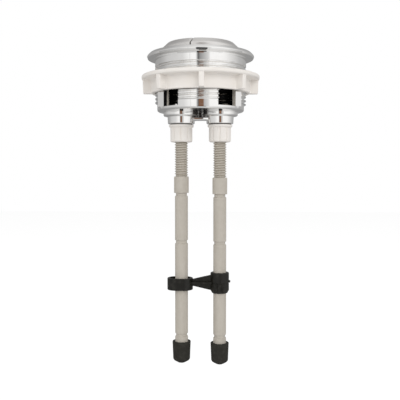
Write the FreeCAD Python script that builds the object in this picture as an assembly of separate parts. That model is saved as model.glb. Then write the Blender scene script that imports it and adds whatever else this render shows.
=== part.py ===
# Dual flush push button actuator that clamps in the lid of a cistern.
# Millimetres, Z up. The origin is on the barrel's axis, in the plane where the bezel sits on the lid.
# The half flush button, plunger and rod are on the -X side and the full flush ones on the +X side.
import FreeCAD
import Part
import math
import os

Vector = FreeCAD.Vector
up = Vector(0, 0, 1)

# Bezel and threaded barrel
bezel_radius = 34.0
bezel_edge_height = 3.2
bezel_rise = 1.0
bezel_top_round = 1.6
bezel_bottom_round = 0.6
barrel_bore_radius = 24.8
barrel_wall = 2.9
barrel_length = 33.5
barrel_bottom_round = 1.3
thread_depth = 1.3
thread_pitch = 2.4
thread_crest_width = 0.5
thread_base_width = 1.9
thread_first_crest = 6.85
thread_crests = 9
lid_spigot_length = 4.9

# Windows through the barrel, a pair on each side of the front and back panels
window_near_angle = 26.0
window_far_angle = 54.0
window_top_depth = 15.0
window_sill_height = 2.2
pad_far_angle = 62.0
pad_step = 0.15

# Buttons
button_clearance = 0.4
button_shoulder_height = 6.6
button_edge_height = 9.5
button_edge_radius = 21.3
button_crown_height = 10.7
button_shoulder_round = 1.6
button_wall = 1.8
button_skirt_depth = 1.0
split_offset = -0.8
split_radius = 50.0
split_gap = 0.5
split_bevel = 0.8
boss_wall = 1.6

# Plungers, with the threaded bore that takes each rod
rod_spacing = 24.8
plunger_radius = 6.2
plunger_head_depth = 2.0
plunger_head_thickness = 1.5
plunger_head_radius = 9.8
plunger_spigot_radius = 6.0
plunger_spigot_length = 8.0
plunger_end_proud = 0.5
plunger_bore_roof = 3.0
snap_clearance = 0.05

# Guide base that closes the barrel, with a collar and a socket round each plunger
base_thickness = 1.5
base_clearance = 0.05
collar_radius = 11.4
collar_depth = 36.2
collar_round = 0.9
socket_radius = 8.55
socket_draft = 0.3
socket_depth = 41.0
socket_round = 0.5
socket_bore_radius = 7.0
web_half_thickness = 3.0
web_rise = 2.3
hook_angle = 40.0
hook_width = 4.0
hook_thickness = 1.4
hook_rise = 1.0
hook_nose = 0.9
hook_gap = 0.1

# Guide bushes that line the sockets and stand up inside the springs
bush_running_clearance = 0.07
bush_fit_clearance = 0.05
bush_sleeve_radius = 8.2
bush_flange_radius = 9.9
bush_flange_thickness = 1.2
bush_top_depth = 17.0
bush_end_proud = 0.2

# Return springs
spring_wire_radius = 0.6
spring_sleeve_gap = 0.4
spring_seat_clearance = 0.05
spring_turns = 6.5

# Lock nut that clamps the lid from below
nut_running_clearance = 0.08
nut_top_depth = 10.6
nut_flange_radius = 37.6
nut_flange_thickness = 2.7
nut_flange_round = 1.0
nut_skirt_radius = 31.5
nut_height = 11.3
nut_skirt_round = 0.5
nut_ribs = 8
nut_turn = 3.2
nut_rib_width = 3.3
nut_rib_radius = 37.0
nut_rib_draft = 0.3
nut_rib_round = 0.5

# Fluted nuts that lock the rods against the plungers
rod_nut_height = 11.1
rod_nut_ring_radius = 7.9
rod_nut_ring_height = 1.3
rod_nut_body_radius = 7.1
rod_nut_taper = 0.6
rod_nut_bottom_round = 0.9
rod_nut_lobes = 9
rod_nut_flute_radius = 0.6
rod_nut_flute_depth = 0.65

# Push rods, threaded at the top and notched where they may be shortened
# The rods' thread is modelled as ridges
rod_thread_radius = 4.2
rod_thread_depth = 0.5
rod_thread_pitch = 1.55
rod_thread_crest_width = 0.3
rod_thread_base_width = 1.3
rod_thread_clearance = 0.05
rod_top_depth = 20.0
rod_thread_end = 74.5
rod_shoulder_radius = 4.75
rod_shoulder_end = 85.2
rod_shoulder_round = 0.5
rod_neck_radius = 3.55
rod_neck_end = 87.1
rod_plain_radius = 4.18
rod_notch_radius = 3.6
rod_notch_width = 1.9
rod_upper_notch = 115.8
rod_lower_notch = 176.5
rod_notch_round = 0.6
rod_end = 192.0
full_rod_drop = 0.8

# Rubber tips on the rod ends
tip_rim_depth = 181.8
tip_rim_radius = 5.95
tip_foot_radius = 5.45
tip_foot_depth = 193.9
tip_foot_round = 1.9
tip_end_depth = 195.8
tip_flat_radius = 2.2
tip_clearance = 0.04

# Clip that grips the full flush rod and lets the half flush rod slide in its loop
clip_loop_left = 21.6
clip_loop_right = 5.0
clip_loop_wall = 1.5
clip_rod_gap = 0.32
clip_loop_top = 140.3
clip_loop_bottom = 148.0
clip_sleeve_radius = 6.0
clip_sleeve_top = 136.6
clip_sleeve_bottom = 149.9
clip_sleeve_round = 0.6
clip_sleeve_taper = 1.0
clip_sleeve_taper_height = 1.8
clip_grip_clearance = 0.03
clip_arm_thickness = 2.4
clip_arm_neck_height = 4.1
clip_arm_root_height = 10.1
clip_arm_level = 143.3
clip_rib_width = 6.0
clip_rib_height = 1.2
clip_front_rib_width = 1.1
clip_front_rib_spread = 2.1
clip_front_rib_proud = 0.5
clip_nub_length = 0.9
clip_nub_width = 2.0
clip_nub_height = 1.4
clip_nub_level = 142.5

# Sizes that follow from the ones above
thread_root_radius = barrel_bore_radius + barrel_wall
thread_crest_radius = thread_root_radius + thread_depth
button_radius = barrel_bore_radius - button_clearance
window_bottom_depth = barrel_length - window_sill_height
base_top_depth = barrel_length - base_thickness
web_depth = socket_depth - web_rise
plunger_end_depth = socket_depth + plunger_end_proud
bush_flange_top = base_top_depth - bush_flange_thickness
plunger_seat_depth = plunger_head_depth + plunger_head_thickness
spring_radius = bush_sleeve_radius + spring_sleeve_gap + spring_wire_radius
rod_bore_radius = rod_thread_radius + rod_thread_clearance
half_x = -rod_spacing / 2
full_x = rod_spacing / 2
front_angle = -90.0
back_angle = 90.0


def outline(corners):
    # A closed outline in the XZ plane, each corner given as x, z and its rounding radius
    starts = []
    ends = []
    edges = []
    for i, (x, z, radius) in enumerate(corners):
        corner = Vector(x, 0, z)
        following = corners[(i + 1) % len(corners)]
        back = Vector(corners[i - 1][0], 0, corners[i - 1][1]) - corner
        ahead = Vector(following[0], 0, following[1]) - corner
        back.normalize()
        ahead.normalize()
        half_angle = back.getAngle(ahead) / 2
        reach = radius / math.tan(half_angle)
        starts.append(corner + back * reach)
        ends.append(corner + ahead * reach)
        if radius > 0:
            inward = back + ahead
            inward.normalize()
            middle = corner + inward * (radius / math.sin(half_angle) - radius)
            edges.append(Part.Arc(starts[i], middle, ends[i]).toShape())
    for i, end in enumerate(ends):
        edges.append(Part.makeLine(end, starts[(i + 1) % len(starts)]))
    return Part.Face(Part.Wire(Part.__sortEdges__(edges)))


def turned(corners, x=0.0):
    # A body of revolution about the upright axis at x
    solid = outline(corners).revolve(Vector(0, 0, 0), up, 360)
    solid.translate(Vector(x, 0, 0))
    return solid


def rod_body(radius, low, high, x=0.0):
    # An upright cylinder between two heights
    return Part.makeCylinder(radius, high - low, Vector(x, 0, low), up)


def pie(radius, low, high, start, end):
    # The slice of an upright cylinder between two angles
    slice_body = Part.makeCylinder(radius, high - low, Vector(0, 0, low), up, end - start)
    slice_body.rotate(Vector(0, 0, 0), up, start)
    return slice_body


def block(x_low, x_high, y_half, z_low, z_high):
    # A box centred on the XZ plane
    return Part.makeBox(x_high - x_low, 2 * y_half, z_high - z_low, Vector(x_low, -y_half, z_low))


def window_sides():
    # Start and turning sense of each window, measured from the front and back panels
    return [(centre, turn) for centre in (front_angle, back_angle) for turn in (-1, 1)]


def thread_corners():
    # The ridges of the barrel's thread, from the top down
    corners = []
    for i in range(thread_crests):
        crest = -thread_first_crest - i * thread_pitch
        corners.append((thread_root_radius, crest + thread_base_width / 2, 0))
        corners.append((thread_crest_radius, crest + thread_crest_width / 2, 0))
        corners.append((thread_crest_radius, crest - thread_crest_width / 2, 0))
        corners.append((thread_root_radius, crest - thread_base_width / 2, 0))
    return corners


def housing():
    # Bezel and barrel in one moulding, with four windows and plain pads beside them
    opening_height = bezel_edge_height + bezel_rise
    band_end = lid_spigot_length + thread_depth / 2
    corners = [
        (barrel_bore_radius, opening_height, 0.3),
        (bezel_radius - bezel_top_round, bezel_edge_height, 0),
        (bezel_radius, bezel_edge_height - bezel_top_round, 1.5),
        (bezel_radius, 0, bezel_bottom_round),
        (thread_crest_radius, 0, 0),
        (thread_crest_radius, -lid_spigot_length, 0),
        (thread_root_radius, -band_end, 0),
    ]
    corners += thread_corners()
    corners.append((thread_root_radius, -barrel_length, barrel_bottom_round))
    corners.append((barrel_bore_radius, -barrel_length, 0))
    body = turned(corners)
    outside = thread_crest_radius + 1
    for centre, turn in window_sides():
        angles = sorted([centre + turn * window_near_angle, centre + turn * window_far_angle])
        body = body.cut(pie(outside, -window_bottom_depth, -window_top_depth, *angles))
        angles = sorted([centre + turn * window_far_angle, centre + turn * pad_far_angle])
        pad = pie(outside, -window_bottom_depth, -window_top_depth, *angles)
        body = body.cut(pad.cut(rod_body(thread_root_radius + pad_step, -barrel_length, 0)))
    return body


def split_side(body, half, margin):
    # The part of a body on one side of the curved split, kept back from it by a margin
    centre = Vector(-split_offset - split_radius, 0, -barrel_length)
    if half:
        return body.common(Part.makeCylinder(split_radius - margin, 2 * barrel_length, centre, up))
    return body.cut(Part.makeCylinder(split_radius + margin, 2 * barrel_length, centre, up))


def crowned(radius, edge_radius, edge, shoulder, crown, round_radius, low):
    # A domed plug: its crown is an arc from the axis to the edge circle
    drop = crown - edge
    sphere_radius = (edge_radius ** 2 + drop ** 2) / (2 * drop)
    plug = turned([
        (0, low, 0),
        (radius, low, 0),
        (radius, shoulder, round_radius),
        (edge_radius, edge, 0),
        (edge_radius, crown + 1, 0),
        (0, crown + 1, 0),
    ])
    return plug.common(Part.makeSphere(sphere_radius, Vector(0, 0, crown - sphere_radius)))


def button(half):
    # A domed cap with a skirt, a straight wall along the split and a boss for the plunger
    x = half_x if half else full_x
    outer = crowned(button_radius, button_edge_radius, button_edge_height, button_shoulder_height,
                    button_crown_height, button_shoulder_round, -button_skirt_depth)
    inner = crowned(button_radius - button_wall, button_edge_radius - button_wall / 2,
                    button_edge_height - button_wall, button_shoulder_height - button_wall / 2,
                    button_crown_height - button_wall, button_shoulder_round, -button_skirt_depth - 1)
    outer = split_side(outer, half, split_gap / 2)
    inner = split_side(inner, half, split_gap / 2 + button_wall)
    spigot_top = plunger_spigot_length - plunger_head_depth
    socket_radius_inside = plunger_spigot_radius + snap_clearance
    boss_top = button_edge_height - button_wall / 2
    boss = rod_body(socket_radius_inside + boss_wall, -plunger_head_depth, boss_top, x)
    socket = rod_body(socket_radius_inside, -plunger_head_depth, spigot_top + snap_clearance, x)
    cap = outer.cut(inner).fuse(boss).cut(socket).removeSplitter()
    return cap.makeChamfer(split_bevel, split_edges(cap))


def split_edges(cap):
    # The upper edges of the face along the split, where the two buttons meet in a groove
    centre = Vector(-split_offset - split_radius, 0, 0)
    chosen = []
    for edge in [e for e in cap.Edges if not e.Degenerated]:
        points = edge.discretize(5)
        away = [abs(math.hypot(p.x - centre.x, p.y) - split_radius) for p in points]
        if max(away) < split_gap and min(p.z for p in points) > button_shoulder_height:
            chosen.append(edge)
    return chosen


def plunger(x):
    # A guided stem with a spring seat, a spigot that snaps in the button and a bore for the rod
    body = turned([
        (0, -plunger_end_depth, 0),
        (plunger_radius, -plunger_end_depth, 0),
        (plunger_radius, -plunger_seat_depth, 0),
        (plunger_head_radius, -plunger_seat_depth, 0.3),
        (plunger_head_radius, -plunger_head_depth, 0.3),
        (plunger_spigot_radius, -plunger_head_depth, 0),
        (plunger_spigot_radius, plunger_spigot_length - plunger_head_depth, 0.5),
        (0, plunger_spigot_length - plunger_head_depth, 0),
    ], x)
    return body.cut(rod_body(rod_bore_radius, -plunger_end_depth, plunger_bore_roof, x))


def hook(angle):
    # A snap hook that stands on the base and catches the lower edge of a window
    outer = barrel_bore_radius - base_clearance
    nose_low = hook_gap - window_bottom_depth
    corners = [
        (outer - hook_thickness, -barrel_length + base_thickness / 2, 0),
        (outer, -barrel_length + base_thickness / 2, 0),
        (outer, nose_low, 0),
        (outer + hook_nose, nose_low, 0),
        (outer, nose_low + hook_rise, 0),
        (outer - hook_thickness, nose_low + hook_rise, 0),
    ]
    body = outline(corners).extrude(Vector(0, hook_width, 0))
    body.translate(Vector(0, -hook_width / 2, 0))
    bounds = rod_body(outer, -barrel_length, nose_low).fuse(rod_body(outer + hook_nose, nose_low, 0))
    body = body.common(bounds)
    body.rotate(Vector(0, 0, 0), up, angle)
    return body


def guide_base():
    # The floor of the barrel with its collars, sockets and the web between them
    body = rod_body(barrel_bore_radius - base_clearance, -barrel_length, -base_top_depth)
    for x in (half_x, full_x):
        body = body.fuse(turned([
            (0, -barrel_length, 0),
            (0, -socket_depth, 0),
            (socket_radius, -socket_depth, socket_round),
            (socket_radius + socket_draft, -collar_depth, 0),
            (collar_radius, -collar_depth, collar_round),
            (collar_radius, -barrel_length, 0),
        ], x))
    body = body.fuse(block(half_x, full_x, web_half_thickness, -web_depth, -barrel_length))
    for centre, turn in window_sides():
        body = body.fuse(hook(centre + turn * hook_angle))
    for x in (half_x, full_x):
        body = body.cut(rod_body(socket_bore_radius, -socket_depth, 0, x))
    return body.removeSplitter()


def guide_bush(x):
    # A flanged bush: it lines the socket, carries the spring and stands up inside it
    bore = plunger_radius + bush_running_clearance
    liner = socket_bore_radius - bush_fit_clearance
    return turned([
        (bore, -socket_depth - bush_end_proud, 0),
        (liner, -socket_depth - bush_end_proud, 0),
        (liner, -base_top_depth, 0),
        (bush_flange_radius, -base_top_depth, 0),
        (bush_flange_radius, -bush_flange_top, 0),
        (bush_sleeve_radius, -bush_flange_top, 0),
        (bush_sleeve_radius, -bush_top_depth, 0.4),
        (bore, -bush_top_depth, 0.2),
    ], x)


def return_spring(x):
    # A coil round the bush, from its flange up to the plunger's seat
    low = -bush_flange_top + spring_seat_clearance + spring_wire_radius
    high = -plunger_seat_depth - spring_seat_clearance - spring_wire_radius
    helix = Part.makeHelix((high - low) / spring_turns, high - low, spring_radius)
    section = Part.Wire(Part.makeCircle(spring_wire_radius, Vector(spring_radius, 0, 0), Vector(0, 1, 0)))
    coil = Part.Wire(helix).makePipeShell([section], True, True)
    coil.translate(Vector(x, 0, low))
    return coil


def lock_nut():
    # A flanged ring with a skirt and eight finger ribs
    bore = thread_crest_radius + nut_running_clearance
    flange_bottom = -nut_top_depth - nut_flange_thickness
    bottom = -nut_top_depth - nut_height
    body = turned([
        (bore, -nut_top_depth, 0.3),
        (nut_flange_radius, -nut_top_depth, nut_flange_round),
        (nut_flange_radius, flange_bottom, nut_flange_round),
        (nut_skirt_radius, flange_bottom, 0.3),
        (nut_skirt_radius, bottom, nut_skirt_round),
        (bore, bottom, 0.3),
    ])
    rib_root = (bore + nut_skirt_radius) / 2
    rib = outline([
        (rib_root, -nut_top_depth - nut_flange_thickness / 2, 0),
        (nut_rib_radius, -nut_top_depth - nut_flange_thickness / 2, 0),
        (nut_rib_radius - nut_rib_draft, bottom, nut_rib_round),
        (rib_root, bottom, 0),
    ]).extrude(Vector(0, nut_rib_width, 0))
    rib.translate(Vector(0, -nut_rib_width / 2, 0))
    for i in range(nut_ribs):
        copy = rib.copy()
        copy.rotate(Vector(0, 0, 0), up, front_angle + nut_turn + i * 360 / nut_ribs)
        body = body.fuse(copy)
    return body.removeSplitter()


def rod_nut(x):
    # A small nut with a plain ring on top and flutes down its sides
    top = -plunger_end_depth
    ring_end = top - rod_nut_ring_height
    bottom = top - rod_nut_height
    body = turned([
        (rod_bore_radius, top, 0),
        (rod_nut_ring_radius, top, 0.3),
        (rod_nut_ring_radius, ring_end, 0),
        (rod_nut_body_radius, ring_end - rod_nut_taper, 0),
        (rod_nut_body_radius, bottom, rod_nut_bottom_round),
        (rod_bore_radius, bottom, 0.4),
    ])
    reach = rod_nut_body_radius + rod_nut_flute_radius - rod_nut_flute_depth
    flute_length = ring_end - rod_nut_taper / 2 - bottom + 1
    for i in range(rod_nut_lobes):
        angle = math.radians(front_angle + (i + 0.5) * 360 / rod_nut_lobes)
        foot = Vector(reach * math.cos(angle), reach * math.sin(angle), bottom - 1)
        body = body.cut(Part.makeCylinder(rod_nut_flute_radius, flute_length, foot, up))
    body.translate(Vector(x, 0, 0))
    return body


def rod_ridges(drop):
    # The ridges of a rod's thread, from the top down
    root = rod_thread_radius - rod_thread_depth
    count = int((rod_thread_end - rod_top_depth) / rod_thread_pitch)
    corners = []
    for i in range(count):
        crest = (count - i - 0.5) * rod_thread_pitch - rod_thread_end - drop
        corners.append((root, crest + rod_thread_base_width / 2, 0))
        corners.append((rod_thread_radius, crest + rod_thread_crest_width / 2, 0))
        corners.append((rod_thread_radius, crest - rod_thread_crest_width / 2, 0))
        corners.append((root, crest - rod_thread_base_width / 2, 0))
    return corners


def push_rod(x, drop):
    # A turned rod: ridged thread, shoulder, neck and two break-off notches
    upper_end = rod_upper_notch + rod_notch_width
    lower_end = rod_lower_notch + rod_notch_width
    root = rod_thread_radius - rod_thread_depth
    corners = [(0, -rod_top_depth - drop, 0), (root, -rod_top_depth - drop, 0)]
    corners += rod_ridges(drop)
    corners += [
        (root, -rod_thread_end - drop, 0),
        (rod_shoulder_radius, -rod_thread_end - drop, rod_shoulder_round),
        (rod_shoulder_radius, -rod_shoulder_end - drop, 0),
        (rod_neck_radius, -rod_shoulder_end - drop, 0),
        (rod_neck_radius, -rod_neck_end - drop, 0),
        (rod_plain_radius, -rod_neck_end - drop, rod_notch_round),
        (rod_plain_radius, -rod_upper_notch - drop, 0.3),
        (rod_notch_radius, -rod_upper_notch - drop, 0),
        (rod_notch_radius, -upper_end - drop, 0),
        (rod_plain_radius, -upper_end - drop, rod_notch_round),
        (rod_plain_radius, -rod_lower_notch - drop, 0.3),
        (rod_notch_radius, -rod_lower_notch - drop, 0),
        (rod_notch_radius, -lower_end - drop, 0),
        (rod_plain_radius, -lower_end - drop, rod_notch_round),
        (rod_plain_radius, -rod_end - drop, 0.3),
        (0, -rod_end - drop, 0),
    ]
    return turned(corners, x)


def rod_tip(x, drop):
    # A tapered rubber cup with a rounded foot and a small flat where it pushes
    bore = rod_plain_radius + tip_clearance
    return turned([
        (0, -tip_end_depth - drop, 0),
        (tip_flat_radius, -tip_end_depth - drop, 0),
        (tip_foot_radius, -tip_foot_depth - drop, tip_foot_round),
        (tip_rim_radius, -tip_rim_depth - drop, 0.3),
        (bore, -tip_rim_depth - drop, 0.3),
        (bore, -rod_end - drop, 0),
        (0, -rod_end - drop, 0),
    ], x)


def stadium(x_low, x_high, half_width, low, high):
    # An upright slab with two round ends
    height = high - low
    ends = [x_low + half_width, x_high - half_width]
    body = block(ends[0], ends[1], half_width, low, high)
    for x in ends:
        body = body.fuse(Part.makeCylinder(half_width, height, Vector(x, 0, low), up))
    return body.removeSplitter()


def rod_clip():
    # One moulding: the long loop, a tapered arm stiffened by a rib, and the gripping sleeve
    inner_half = rod_plain_radius + clip_rod_gap
    outer_half = inner_half + clip_loop_wall
    loop = stadium(-clip_loop_left, -clip_loop_right, outer_half, -clip_loop_bottom, -clip_loop_top)
    hole = stadium(clip_loop_wall - clip_loop_left, -clip_loop_right - clip_loop_wall, inner_half,
                   -clip_loop_bottom - 1, -clip_loop_top + 1)
    grip_radius = rod_plain_radius + clip_grip_clearance
    neck_x = -clip_loop_right - clip_loop_wall / 2
    root_x = full_x - (grip_radius + clip_sleeve_radius) / 2
    arm = outline([
        (neck_x, -clip_arm_level + clip_arm_neck_height / 2, 0),
        (root_x, -clip_arm_level + clip_arm_root_height / 2, 0),
        (root_x, -clip_arm_level - clip_arm_root_height / 2, 0),
        (neck_x, -clip_arm_level - clip_arm_neck_height / 2, 0),
    ]).extrude(Vector(0, clip_arm_thickness, 0))
    arm.translate(Vector(0, -clip_arm_thickness / 2, 0))
    rib = block(neck_x, root_x, clip_rib_width / 2, -clip_arm_level - clip_rib_height / 2,
                -clip_arm_level + clip_rib_height / 2)
    sleeve = turned([
        (0, -clip_sleeve_bottom, 0),
        (clip_sleeve_radius - clip_sleeve_taper, -clip_sleeve_bottom, 0),
        (clip_sleeve_radius, clip_sleeve_taper_height - clip_sleeve_bottom, 0),
        (clip_sleeve_radius, -clip_sleeve_top, clip_sleeve_round),
        (0, -clip_sleeve_top, 0),
    ], full_x)
    body = loop.cut(hole).fuse(arm.fuse(rib).cut(hole)).fuse(sleeve)
    for side in (-1, 1):
        centre = full_x + side * clip_front_rib_spread
        front_rib = Part.makeBox(clip_front_rib_width, clip_sleeve_radius + clip_front_rib_proud,
                                 clip_sleeve_bottom - clip_arm_level - clip_sleeve_round)
        start_x = centre - clip_front_rib_width / 2
        start_y = -clip_sleeve_radius - clip_front_rib_proud
        front_rib.translate(Vector(start_x, start_y, clip_sleeve_round - clip_sleeve_bottom))
        body = body.fuse(front_rib)
    nub_end = full_x + clip_sleeve_radius + clip_nub_length
    body = body.fuse(block(full_x, nub_end, clip_nub_width / 2, -clip_nub_level - clip_nub_height / 2,
                           -clip_nub_level + clip_nub_height / 2))
    body = body.cut(rod_body(grip_radius, -clip_sleeve_bottom - 1, -clip_sleeve_top + 1, full_x))
    return body.removeSplitter()


pieces = {
    "housing": housing(),
    "guide_base": guide_base(),
    "half_guide_bush": guide_bush(half_x),
    "full_guide_bush": guide_bush(full_x),
    "half_return_spring": return_spring(half_x),
    "full_return_spring": return_spring(full_x),
    "half_button": button(True),
    "full_button": button(False),
    "half_plunger": plunger(half_x),
    "full_plunger": plunger(full_x),
    "lock_nut": lock_nut(),
    "half_rod_nut": rod_nut(half_x),
    "full_rod_nut": rod_nut(full_x),
    "half_rod": push_rod(half_x, 0),
    "full_rod": push_rod(full_x, full_rod_drop),
    "half_rod_tip": rod_tip(half_x, 0),
    "full_rod_tip": rod_tip(full_x, full_rod_drop),
    "rod_clip": rod_clip(),
}

os.makedirs("parts", exist_ok=True)
for name, shape in pieces.items():
    shape.exportStep("parts/" + name + ".step")
    print(name, len(shape.Solids), "solid", round(shape.Volume / 1000, 3), "cm3", shape.isValid())
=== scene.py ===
import math

import bmesh
import bpy
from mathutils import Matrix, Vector


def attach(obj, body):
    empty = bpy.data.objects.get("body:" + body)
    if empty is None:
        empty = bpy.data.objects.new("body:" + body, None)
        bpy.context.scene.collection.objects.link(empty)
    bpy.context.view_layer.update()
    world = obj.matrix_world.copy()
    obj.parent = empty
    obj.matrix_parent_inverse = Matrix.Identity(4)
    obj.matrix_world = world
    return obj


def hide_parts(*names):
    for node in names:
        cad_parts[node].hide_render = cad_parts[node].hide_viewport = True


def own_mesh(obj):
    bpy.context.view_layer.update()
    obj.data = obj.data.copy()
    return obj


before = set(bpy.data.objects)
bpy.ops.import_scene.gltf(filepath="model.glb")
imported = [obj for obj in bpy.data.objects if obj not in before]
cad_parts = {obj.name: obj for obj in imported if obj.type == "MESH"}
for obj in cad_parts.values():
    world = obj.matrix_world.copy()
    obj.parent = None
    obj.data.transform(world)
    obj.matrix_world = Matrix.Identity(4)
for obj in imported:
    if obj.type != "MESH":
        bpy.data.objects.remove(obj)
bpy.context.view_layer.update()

# Lengths below are in millimetres, angles in degrees, and the origin is the CAD's own
mm = 0.001
halfX, fullX = -12.4, 12.4  # the axes of the half flush rod and the full flush rod
fullDrop = 0.8  # the full flush rod hangs this much lower
print("frame loaded with", len(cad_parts), "nodes")


def clamp(value, low=0.0, high=1.0):
    return max(low, min(high, value))


def smooth(value):
    value = clamp(value)
    return value * value * (3 - 2 * value)


def steps(first, last, count):
    return [first + (last - first) * i / count for i in range(count + 1)]


def rounded(corners, arcSteps=6):
    # An outline from (a, b, radius) corners, where each radius becomes an arc
    path = []
    for i, (a, b, radius) in enumerate(corners):
        here = Vector((a, b))
        if radius == 0:
            path.append((a, b))
            continue
        back = (Vector(corners[i - 1][:2]) - here).normalized()
        ahead = (Vector(corners[(i + 1) % len(corners)][:2]) - here).normalized()
        half = back.angle(ahead) / 2
        centre = here + (back + ahead).normalized() * (radius / math.sin(half))
        first = here + back * (radius / math.tan(half)) - centre
        last = here + ahead * (radius / math.tan(half)) - centre
        turn = first.angle(last)
        for k in range(arcSteps + 1):
            t = k / arcSteps
            spoke = first * math.sin((1 - t) * turn) + last * math.sin(t * turn)
            path.append(tuple(centre + spoke / math.sin(turn)))
    return path


def evenAngles(count):
    return [2 * math.pi * i / count for i in range(count)]


def turnedRings(path, angles, x=0.0, shape=None):
    # The rings of a turned body, where shape may change the radius round the axis
    rings = []
    for radius, z in path:
        if radius < 1e-6:
            rings.append([(x, 0.0, z)])
            continue
        ring = []
        for angle in angles:
            reach = shape(angle, radius, z) if shape else radius
            ring.append((x + reach * math.cos(angle), reach * math.sin(angle), z))
        rings.append(ring)
    return rings


def loftFaces(rings, loop):
    # Faces between rings that follow each other; a ring of one point is a pole
    points, starts, faces = [], [], []
    for ring in rings:
        starts.append(len(points))
        points.extend(ring)
    pairs = [(i, i + 1) for i in range(len(rings) - 1)]
    if loop:
        pairs.append((len(rings) - 1, 0))
    for a, b in pairs:
        count = max(len(rings[a]), len(rings[b]))
        for i in range(count):
            j = (i + 1) % count
            if len(rings[a]) == 1:
                faces.append((starts[a], starts[b] + j, starts[b] + i))
            elif len(rings[b]) == 1:
                faces.append((starts[a] + i, starts[a] + j, starts[b]))
            else:
                faces.append((starts[a] + i, starts[a] + j, starts[b] + j, starts[b] + i))
    return points, faces


def meshPiece(name, points, faces):
    mesh = bpy.data.meshes.new(name)
    mesh.from_pydata([(x * mm, y * mm, z * mm) for x, y, z in points], [], faces)
    work = bmesh.new()
    work.from_mesh(mesh)
    bmesh.ops.recalc_face_normals(work, faces=work.faces)
    work.to_mesh(mesh)
    work.free()
    piece = bpy.data.objects.new(name, mesh)
    bpy.context.scene.collection.objects.link(piece)
    return piece


def turnedPiece(name, path, columns, x=0.0, shape=None):
    # A path that starts on the axis is closed by its poles, any other path closes on itself
    rings = turnedRings(path, evenAngles(columns), x, shape)
    return meshPiece(name, *loftFaces(rings, path[0][0] > 1e-6))


def pillar(name, radius, low, high, columns, x):
    # A plain round bar between two levels
    return turnedPiece(name, [(0, low), (radius, low), (radius, high), (0, high)], columns, x)


def capped(name, rings):
    # Rings that follow each other, closed by a flat face at each end
    points, faces = loftFaces(rings, False)
    last = len(points) - len(rings[-1])
    faces += [tuple(range(len(rings[0]))), tuple(last + i for i in range(len(rings[-1])))]
    return meshPiece(name, points, faces)


def settle(piece):
    # The modifiers become the mesh
    graph = bpy.context.evaluated_depsgraph_get()
    done = bpy.data.meshes.new_from_object(piece.evaluated_get(graph))
    piece.modifiers.clear()
    piece.data = done


def combine(piece, other, operation):
    step = piece.modifiers.new("combine", "BOOLEAN")
    step.operation = operation
    step.object = other
    step.solver = "EXACT"
    settle(piece)
    bpy.data.objects.remove(other)


def close(piece):
    # Joins points that a cut left side by side, and fills what it left open
    work = bmesh.new()
    work.from_mesh(piece.data)
    bmesh.ops.remove_doubles(work, verts=work.verts, dist=0.003 * mm)
    bmesh.ops.dissolve_degenerate(work, edges=work.edges, dist=0.002 * mm)
    bmesh.ops.holes_fill(work, edges=[edge for edge in work.edges if edge.is_boundary], sides=0)
    work.to_mesh(piece.data)
    work.free()


def dress(piece, material, body, nodes=(), crease=32):
    # Smooth shading with creases, the finish, and the CAD nodes that the piece stands for
    close(piece)
    piece.data.shade_smooth()
    piece.data.set_sharp_from_angle(angle=math.radians(crease))
    piece.data.materials.clear()
    piece.data.materials.append(material)
    weigh = piece.modifiers.new("weigh", "WEIGHTED_NORMAL")  # large faces mirror as flat ones, roundings bend
    weigh.keep_sharp = True
    settle(piece)
    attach(piece, body)
    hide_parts(*nodes)
    return piece


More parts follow.
